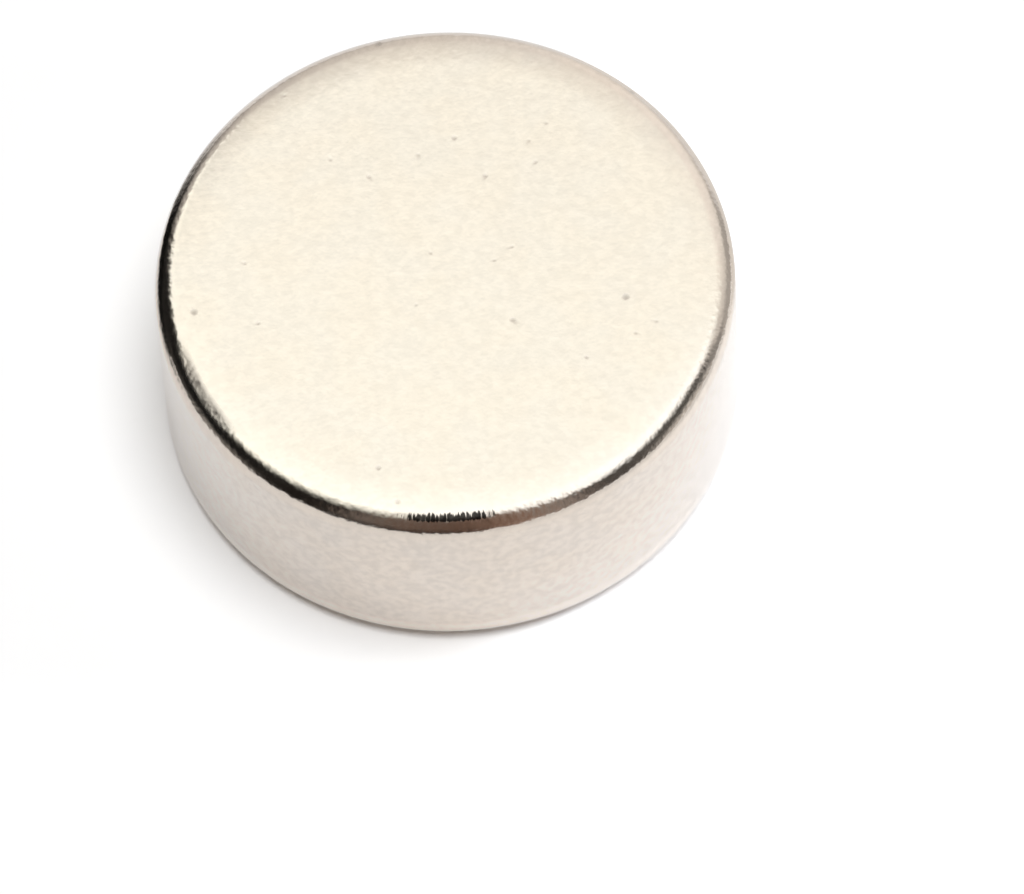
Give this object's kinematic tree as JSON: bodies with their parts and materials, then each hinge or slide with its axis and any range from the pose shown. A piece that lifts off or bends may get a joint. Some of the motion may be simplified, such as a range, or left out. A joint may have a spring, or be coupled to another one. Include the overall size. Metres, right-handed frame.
{
  "type": "disc magnet",
  "caption": "Plain disc magnet with flat pole faces, a round wall and tumbled edges, plated in bright nickel, for holding, closing or sensing.",
  "frame": {"origin": "middle of the lower pole face, which rests on the table", "axes": "+Z along the magnet's axis, from the lower pole face to the upper one; X and Y are free, because the disc is round"},
  "size_m": [0.025, 0.025, 0.01],
  "materials": {
    "nickel_plate": "bright nickel plating over a tumbled sintered surface, with a fine satin grain and small pits"
  },
  "bodies": {
    "root": {"magnet": "nickel_plate"}
  },
  "joints": []
}
